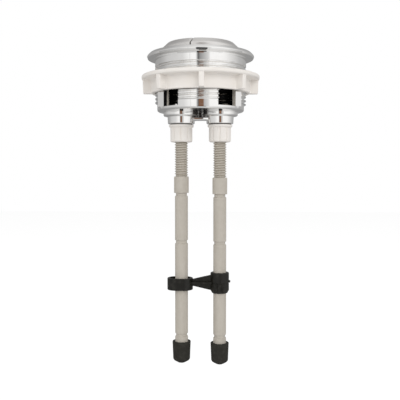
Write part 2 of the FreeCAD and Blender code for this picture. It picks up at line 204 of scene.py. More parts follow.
class Wire:  # a node socket that takes part in Python sums
    def __init__(self, tree, socket=None):
        self.tree = tree
        self.socket = socket

    def add(self, kind, settings=None, sockets=None, output=0):
        node = self.tree.nodes.new(kind)
        for key, value in (settings or {}).items():
            if key != "stops":
                setattr(node, key, value)
                continue
            ramp = node.color_ramp
            while len(ramp.elements) < len(value):
                ramp.elements.new(0.5)
            for element, (place, grey) in zip(ramp.elements, value):
                element.position = place
                element.color = (grey, grey, grey, 1)
        for key, value in (sockets or {}).items():
            if isinstance(value, Wire):
                self.tree.links.new(value.socket, node.inputs[key])
            else:
                node.inputs[key].default_value = value
        return Wire(self.tree, node.outputs[output]) if node.outputs else None

    def math(self, operation, *values):
        return self.add("ShaderNodeMath", {"operation": operation}, dict(enumerate(values)))

    def __add__(self, other):
        return self.math("ADD", self, other)

    def __radd__(self, other):
        return self.math("ADD", other, self)

    def __sub__(self, other):
        return self.math("SUBTRACT", self, other)

    def __rsub__(self, other):
        return self.math("SUBTRACT", other, self)

    def __mul__(self, other):
        return self.math("MULTIPLY", self, other)

    def __rmul__(self, other):
        return self.math("MULTIPLY", other, self)

    def __truediv__(self, other):
        return self.math("DIVIDE", self, other)

    def __rtruediv__(self, other):
        return self.math("DIVIDE", other, self)

    def __abs__(self):
        return self.math("ABSOLUTE", self)

    def split(self, axis):  # one coordinate
        return self.add("ShaderNodeSeparateXYZ", {}, {0: self}, axis)

    def turn(self, aim):  # degrees from the camera's side towards the right, seen from above
        around = self.split("X").math("ARCTAN2", self.split("X"), 0 - self.split("Y"))
        return around * (180 / math.pi) - aim

    def levels(self, table):  # brightness round the object, from (degrees, brightness) pairs
        stops = [(place / 360 + 0.5, level) for place, level in table]
        return self.add("ShaderNodeValToRGB", {"stops": stops}, {"Fac": self / 360 + 0.5})

    def between(self, low, high):  # 0 at low, 1 at high, eased
        return self.add("ShaderNodeMapRange", {"interpolation_type": "SMOOTHSTEP"},
                        {"Value": self, "From Min": low, "From Max": high})

    def within(self, start, low, high, end):  # 1 from low to high, 0 before start and after end
        return self.between(start, low) * (1 - self.between(high, end))

    def tint(self, first, second):  # first where this is 0, second where it is 1
        return self.add("ShaderNodeMix", {"data_type": "RGBA"}, {0: self, 6: first, 7: second}, 2)

    def noise(self, size, detail=3.0, roughness=0.55, stretch=(1, 1, 1)):
        # Noise with patches about this many millimetres across
        place = self.add("ShaderNodeVectorMath", {"operation": "MULTIPLY"}, {0: self, 1: stretch})
        return self.add("ShaderNodeTexNoise", {}, {"Vector": place, "Scale": 1 / (size * mm), "Detail": detail,
                                                   "Roughness": roughness})

    def bump(self, height, normal=None):  # height in millimetres
        sockets = {"Height": self, "Distance": height * mm, "Strength": 1.0}
        if normal:
            sockets["Normal"] = normal
        return self.add("ShaderNodeBump", {}, sockets)


def grey(value):
    return (value, value, value, 1)


def newFinish(name, paint, constants):
    # A material: constants go on the shader's own sockets, and paint returns what varies
    material = bpy.data.materials.new(name)
    material.use_nodes = True
    shader = material.node_tree.nodes["Principled BSDF"]
    for key, value in constants.items():
        shader.inputs[key].default_value = value
    place = Wire(material.node_tree).add("ShaderNodeTexCoord", output="Object")
    for key, value in paint(place).items():
        material.node_tree.links.new(value.socket, shader.inputs[key])
    return material


chromeLook = {"colour": (0.95, 0.94, 0.925, 1), "haze": (0.79, 0.775, 0.755, 1), "roughness": 0.03,
              "smudge": 0.1, "ripple": 0.012}


def paintChrome(place):
    # Bright plating: faint haze, finger smudges and the slow ripple of moulded plastic
    cloud = place.noise(9, 4).between(0.35, 0.8)
    smudge = place.noise(3.2, 5, 0.7, (1, 1, 2.2)).between(0.5, 0.78)
    specks = place.noise(0.35, 2).between(0.66, 0.74)
    ripple = place.noise(5.5, 2, 0.4) + 0.12 * place.noise(1.1, 2)
    return {
        "Base Color": (cloud * 0.35 + specks * 0.3).tint(chromeLook["colour"], chromeLook["haze"]),
        "Roughness": chromeLook["roughness"] + smudge * chromeLook["smudge"] + specks * 0.1,
        "Normal": ripple.bump(chromeLook["ripple"]),
    }


# Painted shade for the valley between the sockets: its dark colour, a paler mottle in it, and its half width
valleyPaintedShade = {"colour": (0.13, 0.125, 0.12, 1), "mottle": (0.42, 0.41, 0.395, 1), "across": 5.6}


def paintBase(place):
    # The guide base: bright like the barrel, with painted shade, dull and mottled, in the valley between its sockets
    look = paintChrome(place)
    across, lip = valleyPaintedShade["across"], base["webLip"]
    # the painted shade fills the valley above the web's lip
    within = 1 - abs(place.split("X")).between((across - 2) * mm, (across + 1.2) * mm)
    within = within * place.split("Z").between((lip - 0.3) * mm, (lip + 0.2) * mm)
    spots = place.noise(1.3, 4, 0.65).between(0.42, 0.66)
    look["Base Color"] = within.tint(look["Base Color"], spots.tint(valleyPaintedShade["colour"], valleyPaintedShade["mottle"]))
    look["Roughness"] = look["Roughness"] + within * 0.12
    return look


satinLook = {"colour": (0.83, 0.81, 0.79, 1), "rubbed": (0.78, 0.76, 0.74, 1), "roughness": 0.34}


def paintSatin(place):
    # The buttons: fine satin plating, a little rubbed where fingers press
    grain = place.noise(0.18, 3, 0.7)
    rubbed = place.noise(8, 4).between(0.4, 0.75)
    return {
        "Base Color": (rubbed * 0.6 + grain * 0.15).tint(satinLook["colour"], satinLook["rubbed"]),
        "Roughness": satinLook["roughness"] + grain * 0.06 - rubbed * 0.05,
        "Normal": (grain + place.noise(4, 2) * 3).bump(0.001),
    }


whiteLook = {"colour": (0.885, 0.845, 0.80, 1), "shade": (0.82, 0.77, 0.71, 1), "roughness": 0.36}


def paintWhite(place):
    # Warm white moulding: flow clouds, faint scuffs and a soft moulded skin
    cloud = place.noise(11, 4).between(0.35, 0.75)
    scuff = place.noise(2.4, 6, 0.75, (1, 1, 5)).between(0.62, 0.78)
    skin = place.noise(0.5, 3)
    return {
        "Base Color": (cloud * 0.4 + scuff * 0.45).tint(whiteLook["colour"], whiteLook["shade"]),
        "Roughness": whiteLook["roughness"] + skin * 0.1 + scuff * 0.12,
        "Normal": (skin + place.noise(6, 2) * 4).bump(0.01),
    }


# The groove colour is painted shade, laid on the threads' roots within the groove reach and above the groove foot
greyLook = {"colour": (0.54, 0.50, 0.44, 1), "shade": (0.45, 0.41, 0.35, 1), "groove": (0.37, 0.33, 0.265, 1),
            "grooveShadeReach": (3.5, 3.74), "grooveShadeFoot": (-75.3, -74.7), "roughness": 0.5}


def paintGrey(place):
    # Warm grey moulding: long flow streaks, pores and rubbed marks, and painted shade in the threads' grooves
    streak = place.noise(2.6, 4, 0.6, (1, 1, 0.12)).between(0.3, 0.75)
    mottle = place.noise(3.5, 5, 0.65).between(0.35, 0.75)
    pores = place.noise(0.3, 2).between(0.6, 0.75)
    across, along = abs(place.split("X")) - fullX * mm, place.split("Y")
    reach = place.math("SQRT", across * across + along * along)  # from the nearest rod's axis
    inner, outer = greyLook["grooveShadeReach"]
    low, high = greyLook["grooveShadeFoot"]
    # painted shade: darker close to the threads' roots
    groove = (1 - reach.between(inner * mm, outer * mm)) * place.split("Z").between(low * mm, high * mm)
    plain = (streak * 0.4 + mottle * 0.35 + pores * 0.2).tint(greyLook["colour"], greyLook["shade"])
    return {
        "Base Color": groove.tint(plain, greyLook["groove"]),
        "Roughness": greyLook["roughness"] + mottle * 0.1,
        "Normal": (place.noise(0.45, 3) + streak * 0.8).bump(0.016),
    }


clipLook = {"colour": (0.0085, 0.0078, 0.0055, 1), "worn": (0.022, 0.0205, 0.0155, 1), "roughness": 0.28}


def paintClip(place):
    # Black moulding with paler rubbed patches and fine moulding texture
    worn = place.noise(3.2, 5, 0.7).between(0.45, 0.72)
    skin = place.noise(0.4, 3)
    return {
        "Base Color": worn.tint(clipLook["colour"], clipLook["worn"]),
        "Roughness": clipLook["roughness"] + skin * 0.16 + worn * 0.1,
        "Normal": (skin + place.noise(2.4, 2) * 2).bump(0.016),
    }


rubberLook = {"colour": (0.024, 0.0225, 0.0185, 1), "dust": (0.046, 0.0435, 0.037, 1), "roughness": 0.6}


def paintRubber(place):
    # Black rubber: a dusty bloom and a fine matt grain
    dust = place.noise(2.8, 5, 0.7).between(0.42, 0.75)
    grain = place.noise(0.22, 3, 0.7)
    return {
        "Base Color": (dust * 0.8 + grain * 0.15).tint(rubberLook["colour"], rubberLook["dust"]),
        "Roughness": rubberLook["roughness"] + grain * 0.15,
        "Normal": (grain + place.noise(3, 2) * 2).bump(0.014),
    }


blackLook = {"colour": (0.004, 0.004, 0.004, 1), "shade": (0.011, 0.0105, 0.010, 1), "roughness": 0.6}


def paintBlack(place):
    # The guides and plungers inside: dull black with a trace of grease
    grease = place.noise(2.2, 4).between(0.45, 0.7)
    return {
        "Base Color": grease.tint(blackLook["colour"], blackLook["shade"]),
        "Roughness": blackLook["roughness"] - grease * 0.2,
        "Normal": place.noise(0.35, 3).bump(0.012),
    }


# Spring wire colours darkened as painted shade, since the springs sit inside the barrel
shadedWireLook = {"colour": (0.15, 0.135, 0.12, 1), "dull": (0.07, 0.06, 0.05, 1), "roughness": 0.32}


def paintWire(place):
    # Drawn spring wire with dull patches and die lines, its colour kept dark as painted shade for its place inside the
    # barrel
    dull = place.noise(1.6, 4).between(0.4, 0.7)
    lines = place.noise(0.16, 2, 0.5, (1, 1, 3))
    return {
        "Base Color": (dull * 0.7 + lines * 0.2).tint(shadedWireLook["colour"], shadedWireLook["dull"]),
        "Roughness": shadedWireLook["roughness"] + dull * 0.2,
        "Normal": lines.bump(0.006),
    }


chromed = newFinish("chromedPlastic", paintChrome, {"Metallic": 1.0})
satin = newFinish("satinChrome", paintSatin, {"Metallic": 1.0})
white = newFinish("whitePlastic", paintWhite, {"Specular IOR Level": 0.45})
warmGrey = newFinish("greyPlastic", paintGrey, {"Specular IOR Level": 0.35})
clipBlack = newFinish("clipPlastic", paintClip, {"Specular IOR Level": 0.36})
rubber = newFinish("blackRubber", paintRubber, {"Specular IOR Level": 0.2})
dullBlack = newFinish("blackPlastic", paintBlack, {"Specular IOR Level": 0.15})
springWire = newFinish("springSteel", paintWire, {"Metallic": 1.0})
print("finishes ready")


housing = {"boreRadius": 24.8, "rootRadius": 27.7, "crestRadius": 29.0, "pitch": 2.4, "frontCrest": -27.25,
           "crestHalf": 0.2, "rootHalf": 0.8, "bandEnd": -4.9, "windowTop": -15.0, "windowBottom": -31.3,
           "panelEnd": -28.0, "leftEnd": -28.2, "rightEnd": -29.1, "bottom": -33.5, "bottomRound": 1.25,
           "padReach": 26.2, "padFacing": 40.0, "rimRadius": 34.0, "rimHeight": 3.2, "rimSlope": 1.6, "rimEdge": 1.25,
           "openingHeight": 4.2, "rimLean": 0.15, "bandLean": 0.15, "leanEnd": -0.9, "bandFade": 0.55,
           "panelHalf": 26.0, "panelFade": 1.8}
# Sectors round the barrel from the front, to the right: end angle, columns, and what is there
barrelSectors = [(24.9, 24, "panel"), (55.0, 24, "window"), (64.8, 10, "pad"), (65.2, 1, "side"), (114.8, 50, "side"),
                 (115.2, 1, "side"), (125.0, 10, "pad"), (152.9, 24, "window"), (204.9, 46, "panel"),
                 (235.0, 24, "window"), (244.8, 10, "pad"), (245.2, 1, "side"), (294.8, 50, "side"), (295.2, 1, "side"),
                 (305.0, 10, "pad"), (332.9, 24, "window"), (360.0, 24, "panel")]


def threadShare(turn, z, kind):
    # How far the surface stands out from the root to the crest, 0 to 1
    h = housing
    band = 1 - smooth((h["bandEnd"] - z) / h["bandFade"])
    end = h["panelEnd"] if kind == "panel" else (h["rightEnd"] if turn < 180 else h["leftEnd"])
    crest = h["frontCrest"] + h["pitch"] * turn / 360
    away = abs((z - crest + h["pitch"] / 2) % h["pitch"] - h["pitch"] / 2)
    ridge = 1 - smooth((away - h["crestHalf"]) / (h["rootHalf"] - h["crestHalf"]))
    if kind == "panel" and z < h["windowTop"]:  # it runs out short of the windows; the panels' middles lie at -1.1
        ridge *= smooth((h["panelHalf"] - abs((turn + 91.1) % 180 - 90)) / h["panelFade"])
    return max(band, ridge if z > end else 0.0)


def makeHousing():
    h = housing
    turns, kinds = [], []
    start = 0.0
    for end, count, kind in barrelSectors:
        for i in range(count):
            turns.append(start + (end - start) * i / count)
            kinds.append(kind)
        start = end
    threadDepth = h["crestRadius"] - h["rootRadius"]
    columnKinds = ["side" if kinds[i - 1] == "side" else kinds[i] for i in range(len(turns))]

    def ring(radius, z, threaded=False):
        points = []
        for i, turn in enumerate(turns):
            reach = radius
            if threaded:
                inRows = h["windowBottom"] - 1e-6 <= z <= h["windowTop"] + 1e-6
                if inRows and kinds[i] != "side" and "pad" in (kinds[i], kinds[i - 1]):
                    facing = min(turn % 180, 180 - turn % 180) - h["padFacing"]
                    reach = h["padReach"] / math.cos(math.radians(facing))
                else:
                    reach = h["rootRadius"] + threadDepth * threadShare(turn, z, columnKinds[i])
            angle = math.radians(turn - 90)
            points.append((reach * math.cos(angle), reach * math.sin(angle), z))
        return points

    under = h["rimRadius"] - h["rimLean"] - 0.15
    bezel = rounded([(h["boreRadius"], h["openingHeight"], 0.3), (h["rimRadius"] - h["rimSlope"], h["rimHeight"], 0.5),
                     (h["rimRadius"], h["rimHeight"] - h["rimSlope"], 1.4), (h["rimRadius"], h["rimEdge"], 0.1),
                     (under, 0.0, 0.25),
                     (h["crestRadius"] + h["bandLean"], 0.0, 0.08), (h["crestRadius"], h["leanEnd"], 0.0)], 7)
    rings = [ring(r, z) for r, z in bezel]
    rows = steps(-1.0, h["bandEnd"], 5) + steps(h["bandEnd"] - 0.15, h["windowTop"], 68)
    rows += steps(h["windowTop"] - 0.15, -30.1, 99) + [-30.7, h["windowBottom"]]
    first = len(rings)
    rings += [ring(0, z, True) for z in rows]
    topRow = first + rows.index(h["windowTop"])
    bottomRow = first + rows.index(h["windowBottom"])
    foot = rounded([(h["rootRadius"], h["windowBottom"], 0), (h["rootRadius"], h["bottom"], h["bottomRound"]),
                    (h["boreRadius"], h["bottom"], 0.2), (h["boreRadius"], h["windowBottom"], 0)], 7)[1:-1]
    rings += [ring(r, z) for r, z in foot]
    innerBottom = len(rings)
    inner = [h["windowBottom"]] + steps(-30, -16, 6) + [h["windowTop"]] + steps(-13, 3.6, 6)
    rings += [ring(h["boreRadius"], z) for z in inner]
    innerTop = innerBottom + inner.index(h["windowTop"])

    columns = len(turns)
    points = [p for r in rings for p in r]
    faces = []
    for a in range(len(rings)):
        b = (a + 1) % len(rings)
        windowRows = topRow <= a < bottomRow or innerBottom <= a < innerTop
        for i in range(columns):
            j = (i + 1) % columns
            if windowRows and kinds[i] == "window":
                continue
            faces.append((a * columns + i, a * columns + j, b * columns + j, b * columns + i))
    for i in range(columns):
        j = (i + 1) % columns
        if kinds[i] == "window":  # lintel and sill
            for outer, within in ((topRow, innerTop), (bottomRow, innerBottom)):
                faces.append((outer * columns + i, outer * columns + j, within * columns + j, within * columns + i))
        if (kinds[i] == "window") != (kinds[i - 1] == "window"):  # jamb
            outside = [r * columns + i for r in range(topRow, bottomRow + 1)]
            inside = [r * columns + i for r in range(innerBottom, innerTop + 1)]
            faces.append(tuple(outside + inside))
    piece = meshPiece("bezelAndBarrel", points, faces)
    dress(piece, chromed, "barrel", ["housing"], 40)
    piece.data.materials.append(warmGrey)  # the plating stops at the windows' outer jambs
    piece.data.materials.append(dullBlack)
    for face in piece.data.polygons:
        turn = math.degrees(math.atan2(face.center.x, -face.center.y)) % 180
        jamb = len(face.vertices) > 4 and 50 < turn < 130
        face.material_index = (1 if turn < 90 else 2) if jamb else 0


rail = {"turns": (-55.6, -52.2), "inner": 23.9, "outer": 24.85, "low": -31.35, "high": -15.0}


def makeRails():
    # The upright rail on the bore beside the left window, and the same on the far side
    inner, outer = rail["inner"], rail["outer"]
    first, last = rail["turns"]
    spots = [(inner, first), (inner, last), (outer, last), (outer, first)]
    for name, around in (("frontRail", 0), ("backRail", 180)):
        rings = []
        for z in (rail["low"], rail["high"]):
            rings.append([(r * math.sin(math.radians(t + around)), -r * math.cos(math.radians(t + around)), z)
                          for r, t in spots])
        piece = capped(name, rings)
        bevel = piece.modifiers.new("bevel", "BEVEL")
        bevel.width = 0.2 * mm
        bevel.segments = 3
        settle(piece)
        dress(piece, warmGrey, "barrel")


makeHousing()
makeRails()
print("bezel and barrel made")


caps = {"radius": 24.4, "shoulder": 6.6, "shoulderRound": 1.6, "edgeRadius": 21.3, "edge": 9.5, "crown": 10.7,
        "bottom": -1.0, "wall": 1.8, "splitCentre": -49.2, "splitRadius": 50.0, "gap": 0.75, "bevel": 0.7,
        "slope": 0.87, "bossRadius": 7.65, "bossTop": 7.8, "socketRadius": 6.05, "socketTop": 6.05, "bossBottom": -2.0}


def crownHeight(radius, inset=0.0):
    # The dome, an arc from the axis to the edge circle
    drop = caps["crown"] - caps["edge"]
    sphere = (caps["edgeRadius"] ** 2 + drop ** 2) / (2 * drop)
    return caps["crown"] - inset - sphere + math.sqrt(sphere ** 2 - radius ** 2)


def plug(name, inset, bottom):
    # The whole domed cap before it is split, or its inside when it is inset
    c = caps
    radius = c["radius"] - inset
    edge = c["edgeRadius"] - inset / 2
    side = rounded([(0, bottom, 0), (radius, bottom, 0 if inset else 0.3),
                    (radius, c["shoulder"] - inset / 2, c["shoulderRound"]),
                    (edge, crownHeight(edge, inset), 0.35), (0, c["crown"] - inset, 0)], 8)[:-1]
    last = side[-1][0]
    top = [(last * (1 - i / 14), crownHeight(last * (1 - i / 14), inset)) for i in range(1, 15)]
    return turnedPiece(name, side + top, 256)


def splitCutter(name, margin, bevel):
    # A wall of this half width along the curved split, flared into a groove at the top
    rings = []
    for y in steps(-30, 30, 150):
        bend = math.sqrt(caps["splitRadius"] ** 2 - y ** 2)
        outward = Vector((bend, y)).normalized()
        spot = Vector((caps["splitCentre"] + bend, y))
        radius = min(spot.length, caps["edgeRadius"])
        top = crownHeight(radius)
        if spot.length > caps["edgeRadius"]:  # down the slope outside the dome
            top -= (spot.length - caps["edgeRadius"]) * caps["slope"]
        profile = [(margin, -20), (margin, top - bevel)]
        if bevel:
            for turn in steps(0, math.pi / 2, 6)[1:]:
                profile.append((margin + bevel * (1 - math.cos(turn)), top - bevel + bevel * math.sin(turn)))
            profile.append((margin + bevel + 0.6, top + 0.35))
        profile.append((profile[-1][0], 20))
        profile += [(-across, z) for across, z in reversed(profile)]
        rings.append([(spot.x + outward.x * across, spot.y + outward.y * across, z) for across, z in profile])
    return capped(name, rings)


def keepSide(piece, sign):
    # Of the two halves, keeps the one on this side
    work = bmesh.new()
    work.from_mesh(piece.data)
    left = set(work.verts)
    drop = []
    while left:
        island, front = set(), [left.pop()]
        while front:
            vertex = front.pop()
            island.add(vertex)
            for edge in vertex.link_edges:
                other = edge.other_vert(vertex)
                if other in left:
                    left.discard(other)
                    front.append(other)
        if sum(v.co.x for v in island) / len(island) * sign < 0:
            drop += list(island)
    bmesh.ops.delete(work, geom=drop, context="VERTS")
    work.to_mesh(piece.data)
    work.free()


def makeButton(name, sign, x, body, node):
    c = caps
    cap = plug(name, 0.0, c["bottom"])
    combine(cap, splitCutter("groove", c["gap"] / 2, c["bevel"]), "DIFFERENCE")
    keepSide(cap, sign)
    hollow = plug("hollow", c["wall"], c["bottom"] - 1)
    combine(hollow, splitCutter("inner", c["gap"] / 2 + c["wall"], 0), "DIFFERENCE")
    keepSide(hollow, sign)
    combine(cap, hollow, "DIFFERENCE")
    combine(cap, pillar("boss", c["bossRadius"], c["bossBottom"], c["bossTop"], 72, x), "UNION")
    combine(cap, pillar("socket", c["socketRadius"], c["bossBottom"] - 1, c["socketTop"], 72, x), "DIFFERENCE")
    return dress(cap, satin, body, [node], 28)


makeButton("halfFlushButton", -1, halfX, "half_button", "half_button")
makeButton("fullFlushButton", 1, fullX, "full_button", "full_button")
print("buttons made")


lockNut = {"bore": 29.08, "top": -10.6, "flangeRadius": 37.6, "flangeThickness": 2.7, "flangeRound": 1.0,
           "skirtRadius": 31.5, "bottom": -21.9, "bottomRound": 0.6, "ribs": 8, "turn": 3.2, "ribWidth": 3.3,
           "ribRadius": 37.0, "ribDraft": 0.3, "ribRound": 0.5, "rootRound": 0.9, "rootLand": 3.2, "fillet": 1.2}


def nutPlan(skirt, rib, width):
    # One plan outline of skirt and ribs, with the same number of points at every height
    n = lockNut
    corners = []
    spread, land = 180 / n["ribs"], n["rootLand"]
    for i in range(n["ribs"]):
        centre = n["turn"] - 90 + i * 360 / n["ribs"]
        root = math.degrees(math.asin(width / 2 / skirt))
        tip = math.degrees(math.asin(width / 2 / rib))
        for turn in steps(-spread, -root - land, 8)[:-1]:
            corners.append((skirt, centre + turn, 0))
        corners += [(skirt, centre - root - land, 0), (skirt, centre - root, n["rootRound"]),
                    (rib, centre - tip, n["ribRound"]), (rib, centre, 0), (rib, centre + tip, n["ribRound"]),
                    (skirt, centre + root, n["rootRound"]), (skirt, centre + root + land, 0)]
        for turn in steps(root + land, spread, 8)[1:-1]:
            corners.append((skirt, centre + turn, 0))
    spots = [(r * math.cos(math.radians(a)), r * math.sin(math.radians(a)), rounding) for r, a, rounding in corners]
    return rounded(spots, 4)


def makeLockNut():
    n = lockNut
    full = nutPlan(n["skirtRadius"], n["ribRadius"], n["ribWidth"])

    def circle(radius, z, ribs=False):
        ring = []
        for x, y in full:
            reach = math.hypot(x, y)
            size = max(radius, reach) if ribs and reach > n["skirtRadius"] + 0.05 else radius
            ring.append((x / reach * size, y / reach * size, z))
        return ring

    underside = n["top"] - n["flangeThickness"]
    flange = rounded([(n["bore"], n["top"], 0.3), (n["flangeRadius"], n["top"], n["flangeRound"]),
                      (n["flangeRadius"], underside, n["flangeRound"]),
                      (n["skirtRadius"] + n["fillet"], underside, 0)], 6)
    rings = [circle(r, z, z < n["top"] - 1.2) for r, z in flange[:-1]]
    for turn in steps(0, math.pi / 2, 5):  # fillet under the flange
        rings.append(circle(n["skirtRadius"] + n["fillet"] * (1 - math.sin(turn)),
                            underside - n["fillet"] * (1 - math.cos(turn)), True))
    height = underside - n["bottom"]
    for share in (0.22, 0.42, 0.64, 0.85):
        draft = n["ribDraft"] * share
        plan = nutPlan(n["skirtRadius"] - draft * 0.3, n["ribRadius"] - draft, n["ribWidth"] - draft)
        rings.append([(x, y, underside - height * share) for x, y in plan])
    for turn in steps(0, math.pi / 2, 6):  # rounded lower edge
        inset = n["bottomRound"] * (1 - math.cos(turn))
        z = n["bottom"] + n["bottomRound"] * (1 - math.sin(turn))
        plan = nutPlan(n["skirtRadius"] - 0.1 - inset, n["ribRadius"] - n["ribDraft"] - inset,
                       n["ribWidth"] - n["ribDraft"] - inset)
        rings.append([(x, y, z) for x, y in plan])
    rings += [circle(n["bore"] + 0.3, n["bottom"]), circle(n["bore"], n["bottom"] + 0.3)]
    piece = meshPiece("lockNut", *loftFaces(rings, True))
    return dress(piece, white, "lock_nut", ["lock_nut"], 40)


makeLockNut()
print("lock nut made")


base = {"radius": 24.75, "top": -32.0, "bottom": -33.5, "collarRadius": 11.4, "collarBottom": -36.2,
        "collarRound": 0.9, "socketRadius": 8.55, "socketDraft": 0.3, "socketBottom": -41.0, "socketRound": 0.5,
        "bore": 7.0, "cutHigh": -30, "webHalf": 4.2, "webBottom": -38.7, "webFlare": 0.5, "webUndercut": 0.45,
        "webLip": -36.9, "hookAngle": 40.0, "hookWidth": 4.0, "hookThickness": 1.4, "hookTop": -30.2, "hookNose": 0.9,
        "root": -32.8}  # the level inside the floor where what stands on it starts
basePlating = newFinish("basePlating", paintBase, {"Metallic": 1.0})


def makeGuideBase():
    b = base
    floor = turnedPiece("guideBase", rounded([(0, b["bottom"], 0), (b["radius"], b["bottom"], 0.2),
                                              (b["radius"], b["top"], 0.1), (0, b["top"], 0)], 4), 192)
    for x in (halfX, fullX):
        neck = turnedPiece("neck", rounded([(0, b["socketBottom"], 0),
                                            (b["socketRadius"], b["socketBottom"], b["socketRound"]),
                                            (b["socketRadius"] + b["socketDraft"], b["collarBottom"], 0.5),
                                            (b["collarRadius"], b["collarBottom"], b["collarRound"]),
                                            (b["collarRadius"], b["root"], 0), (0, b["root"], 0)], 6), 144, x)
        combine(floor, neck, "UNION")
    rings = []
    for x in steps(halfX + 5, fullX - 5, 44):  # the web, waisted between the sockets
        half = b["webHalf"] + b["webFlare"] * smooth((abs(x) - 1.2) / 6.5)
        low = b["webBottom"] - 0.5 * smooth((abs(x) - 2.5) / 4)
        waist = half - b["webUndercut"] - 0.05 * math.sin(x * 2.6)  # the face leans in down to its lip
        side = [(half, low, 0.7), (half, b["webLip"] - 0.3, 0.2), (waist, b["webLip"], 0.2), (half, -33.4, 0),
                (half, b["root"], 0)]
        side = rounded(side + [(-y, z, r) for y, z, r in reversed(side)], 5)
        rings.append([(x, y, z) for y, z in side])
    combine(floor, capped("web", rings), "UNION")
    for centre in (-90, 90):
        for side in (-1, 1):
            angle = math.radians(centre + side * b["hookAngle"])
            outer, inner = b["radius"], b["radius"] - b["hookThickness"]
            profile = [(inner, b["root"]), (outer - 0.1, b["root"]), (outer - 0.1, b["hookTop"] - 1.0),
                       (outer + b["hookNose"] - 0.1, b["hookTop"] - 0.85), (outer, b["hookTop"]),
                       (inner, b["hookTop"])]
            rings = []
            for across in (-b["hookWidth"] / 2, b["hookWidth"] / 2):
                rings.append([(r * math.cos(angle) - across * math.sin(angle),
                               r * math.sin(angle) + across * math.cos(angle), z) for r, z in profile])
            combine(floor, capped("hook", rings), "UNION")
    for x in (halfX, fullX):
        combine(floor, pillar("bore", b["bore"], b["socketBottom"] - 1, b["cutHigh"], 96, x), "DIFFERENCE")
    return dress(floor, basePlating, "barrel", ["guide_base"], 28)


makeGuideBase()
print("guide base made")


rodNut = {"top": -41.5, "ringRadius": 7.9, "ringEnd": -42.8, "bodyRadius": 7.1, "bottom": -52.6, "bore": 4.27,
          "bottomRound": 1.1, "lobes": 9, "groove": 0.6, "belly": 0.16}


def makeRodNut(name, x, body, node):
    n = rodNut

    def lobed(angle, radius, z):
        # Lobes with narrow grooves between them, on the outside of the body only
        if radius < n["bore"] + 1.2 or z > n["ringEnd"] - 0.1:
            return radius
        u = (math.degrees(angle) + 90) * n["lobes"] / 360 % 1
        v = abs(u - 0.5) * 2
        depth = n["belly"] * v * v + n["groove"] * smooth((v - 0.74) / 0.26)
        share = smooth((n["ringEnd"] - 0.1 - z) / 0.8)
        return radius - depth * share

    side = rounded([(n["bore"], n["top"], 0.25), (n["ringRadius"], n["top"], 0.3), (n["ringRadius"], n["ringEnd"], 0.3),
                    (n["bodyRadius"], n["ringEnd"] - 0.6, 0.3)], 5)
    side += [(n["bodyRadius"], z) for z in steps(n["ringEnd"] - 1.3, n["bottom"] + 1.5, 6)]
    side += rounded([(n["bodyRadius"], n["bottom"] + 1.3, 0), (n["bodyRadius"], n["bottom"], n["bottomRound"]),
                     (n["bore"] + 0.9, n["bottom"], 0)], 8)[1:-1]
    side += [(n["bore"] + 0.9, n["bottom"]), (n["bore"], n["bottom"] + 0.8)]
    piece = turnedPiece(name, side, 234, x, lobed)
    return dress(piece, white, body, [node], 40)


makeRodNut("halfRodNut", halfX, "half_rod_lock", "half_rod_nut")
makeRodNut("fullRodNut", fullX, "full_rod_lock", "full_rod_nut")
print("rod nuts made")


rod = {"top": -20.0, "rootRadius": 3.5, "crestRadius": 4.2, "pitch": 1.55, "threadEnd": -74.5, "shoulderRadius": 4.75,
       "shoulderEnd": -85.2, "neckRadius": 3.55, "neckEnd": -87.1, "plainRadius": 4.18, "notchRadius": 3.6,
       "notchWidth": 1.9, "notches": (-115.8, -176.5), "end": -192.0, "chamfer": 0.4}


def makeRod(name, x, drop, body, node):
    r = rod
    threadTop = r["top"] - r["chamfer"]

    def threaded(angle, radius, z):
        # A single start right hand thread between the top and the shoulder
        z += drop
        if z < r["threadEnd"] + 0.05 or z > threadTop:
            return radius
        phase = ((z - math.degrees(angle) * r["pitch"] / 360) % r["pitch"]) / r["pitch"]
        ridge = 1 - smooth((abs(phase - 0.5) * 2 - 0.22) / 0.6)
        fade = smooth((threadTop - z) / 1.2) * smooth((z - r["threadEnd"]) / 0.8)
        return radius + (r["crestRadius"] - r["rootRadius"]) * ridge * fade

    count = round((threadTop - r["threadEnd"]) / (r["pitch"] / 12))
    path = [(0, r["top"]), (r["rootRadius"] - 0.5, r["top"]), (r["rootRadius"], threadTop)]
    path += [(r["rootRadius"], z) for z in steps(r["top"] - 0.5, r["threadEnd"] + 0.1, count)]
    corners = [(r["rootRadius"], r["threadEnd"] + 0.1, 0), (r["rootRadius"], r["threadEnd"], 0),
               (r["shoulderRadius"], r["threadEnd"], 0.7), (r["shoulderRadius"], r["shoulderEnd"], 0.35),
               (r["neckRadius"], r["shoulderEnd"], 0.2), (r["neckRadius"], r["neckEnd"], 0.2)]
    level = r["neckEnd"]
    for notch in r["notches"]:
        corners += [(r["plainRadius"], level, 0.5), (r["plainRadius"], notch, 0.25), (r["notchRadius"], notch, 0.15)]
        level = notch - r["notchWidth"]
        corners.append((r["notchRadius"], level, 0.15))
    corners += [(r["plainRadius"], level, 0.5), (r["plainRadius"], r["end"], 0.3), (0, r["end"], 0)]
    path += rounded(corners, 5)[1:]
    path = [(radius, z - drop) for radius, z in path]
    piece = turnedPiece(name, path, 56, x, threaded)
    return dress(piece, warmGrey, body, [node], 40)


makeRod("halfFlushRod", halfX, 0, "half_rod", "half_rod")
makeRod("fullFlushRod", fullX, fullDrop, "full_rod", "full_rod")
print("rods made")


tip = {"rim": -181.8, "rimRadius": 5.95, "footRadius": 5.45, "foot": -193.9, "end": -195.8, "flatRadius": 2.2,
       "bore": 4.22}


